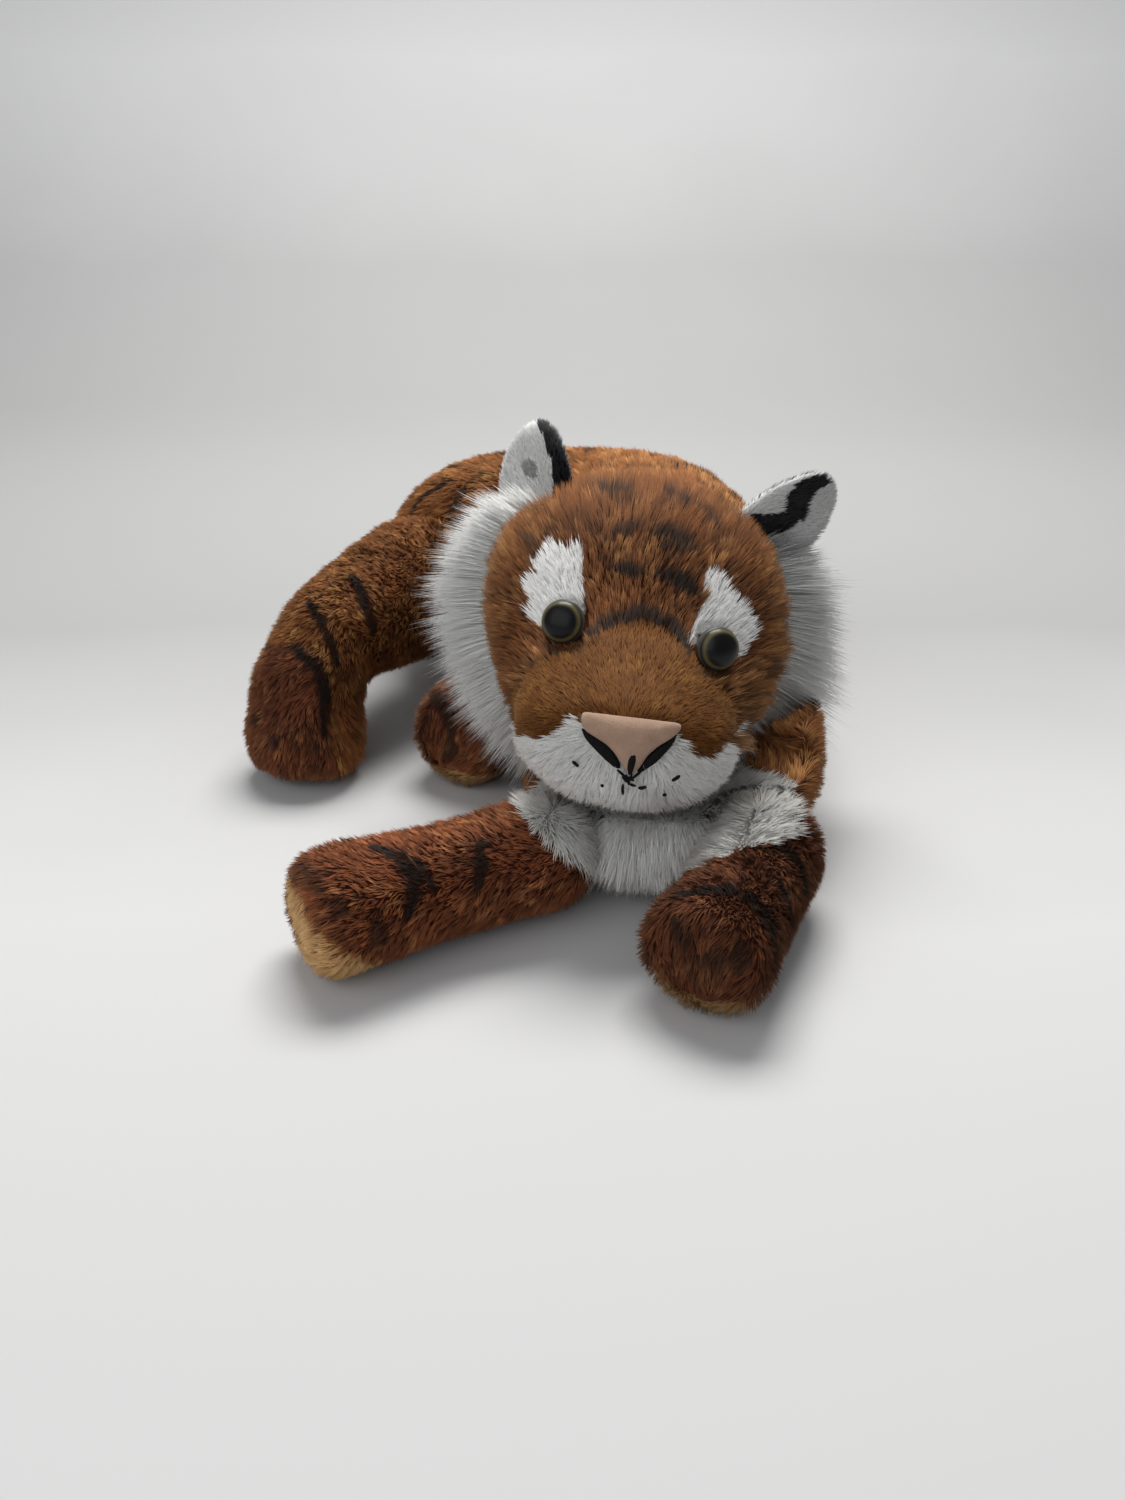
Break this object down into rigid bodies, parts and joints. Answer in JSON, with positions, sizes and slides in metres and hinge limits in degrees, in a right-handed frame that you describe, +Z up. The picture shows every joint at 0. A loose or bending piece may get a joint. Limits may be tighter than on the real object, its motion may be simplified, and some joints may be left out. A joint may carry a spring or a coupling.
{
  "type": "plush tiger",
  "caption": "Lying plush tiger with curled hindquarters, white chest bib and cheek ruffs, glossy eyes, and limbs, head, ears and tail that bend at their seams.",
  "frame": {"origin": "on the table, on the flat of the chest bib that the toy rests on", "axes": "+Z up, -Y the way the face looks, +X towards the tiger's own left"},
  "size_m": [0.2875, 0.4695, 0.1855],
  "materials": {
    "rust_pile": "short rust-brown pile",
    "tan_pile": "short golden-tan pile",
    "white_pile": "short white pile",
    "long_pile": "long white pile",
    "black_pile": "short black pile",
    "velour": "pink-beige velour",
    "thread": "black embroidery thread",
    "eye": "glossy",
    "nylon": "matte",
    "stuffing": "polyester fibre"
  },
  "bodies": {
    "trunk": {"body_cover": "rust_pile", "belly_panel": "white_pile", "chest_bib": "long_pile", "body_stuffing": "stuffing"},
    "head": {"head_cover": "rust_pile", "snout_cover": "tan_pile", "muzzle_cover": "white_pile", "head_stuffing": "stuffing", "nose_patch": "velour", "mouth_stitching": "thread", "brow_patch_left": "white_pile", "eye_left": "eye", "eye_washer_left": "nylon", "cheek_ruff_left": "long_pile", "brow_patch_right": "white_pile", "eye_right": "eye", "eye_washer_right": "nylon", "cheek_ruff_right": "long_pile"},
    "ear_left": {"ear_left_front": "white_pile", "ear_left_back": "black_pile"},
    "ear_right": {"ear_right_front": "white_pile", "ear_right_back": "black_pile"},
    "foreleg_right": {"foreleg_right_cover": "rust_pile", "foreleg_right_sole": "tan_pile", "foreleg_right_stuffing": "stuffing"},
    "foreleg_left": {"foreleg_left_cover": "rust_pile", "foreleg_left_sole": "tan_pile", "foreleg_left_stuffing": "stuffing"},
    "hind_leg_right": {"hind_leg_right_cover": "rust_pile", "hind_leg_right_sole": "tan_pile", "hind_leg_right_stuffing": "stuffing"},
    "hind_leg_left": {"hind_leg_left_cover": "rust_pile", "hind_leg_left_sole": "tan_pile", "hind_leg_left_stuffing": "stuffing"},
    "tail": {"tail_cover": "rust_pile", "tail_stuffing": "stuffing"}
  },
  "joints": [
    {"name": "head_turn", "type": "hinge", "parent": "trunk", "child": "head", "pos_m": [-0.006, 0.052, 0.104], "axis": [0, 0, 1], "range_deg": [-12, 12], "stiffness_Nm_per_rad": 0.4},
    {"name": "ear_left_fold", "type": "hinge", "parent": "head", "child": "ear_left", "pos_m": [0.05152, 0.07215, 0.12969], "axis": [0.4014, 0.4757, -0.7826], "range_deg": [-20, 20], "stiffness_Nm_per_rad": 0.03},
    {"name": "ear_right_fold", "type": "hinge", "parent": "head", "child": "ear_right", "pos_m": [-0.05055, 0.07621, 0.14727], "axis": [0.515, -0.6374, 0.5732], "range_deg": [-8, 20], "stiffness_Nm_per_rad": 0.03},
    {"name": "foreleg_right_lift", "type": "hinge", "parent": "trunk", "child": "foreleg_right", "pos_m": [-0.048, -0.035, 0.027], "axis": [-0.454, 0.891, 0], "range_deg": [0, 15], "stiffness_Nm_per_rad": 0.15},
    {"name": "foreleg_left_lift", "type": "hinge", "parent": "trunk", "child": "foreleg_left", "pos_m": [0.048, -0.035, 0.027], "axis": [-0.9397, 0.342, 0], "range_deg": [0, 10], "stiffness_Nm_per_rad": 0.15},
    {"name": "hind_leg_right_lift", "type": "hinge", "parent": "trunk", "child": "hind_leg_right", "pos_m": [-0.12097, 0.17902, 0.07], "axis": [-0.866, 0.5, 0], "range_deg": [0, 10], "stiffness_Nm_per_rad": 0.25},
    {"name": "hind_leg_left_swing", "type": "hinge", "parent": "trunk", "child": "hind_leg_left", "pos_m": [-0.06103, 0.13374, 0.029], "axis": [0, 0, 1], "range_deg": [-6, 6], "stiffness_Nm_per_rad": 0.15},
    {"name": "tail_swing", "type": "hinge", "parent": "trunk", "child": "tail", "pos_m": [-0.142, 0.25317, 0.044], "axis": [0, 0, 1], "range_deg": [0, 30], "stiffness_Nm_per_rad": 0.03}
  ]
}
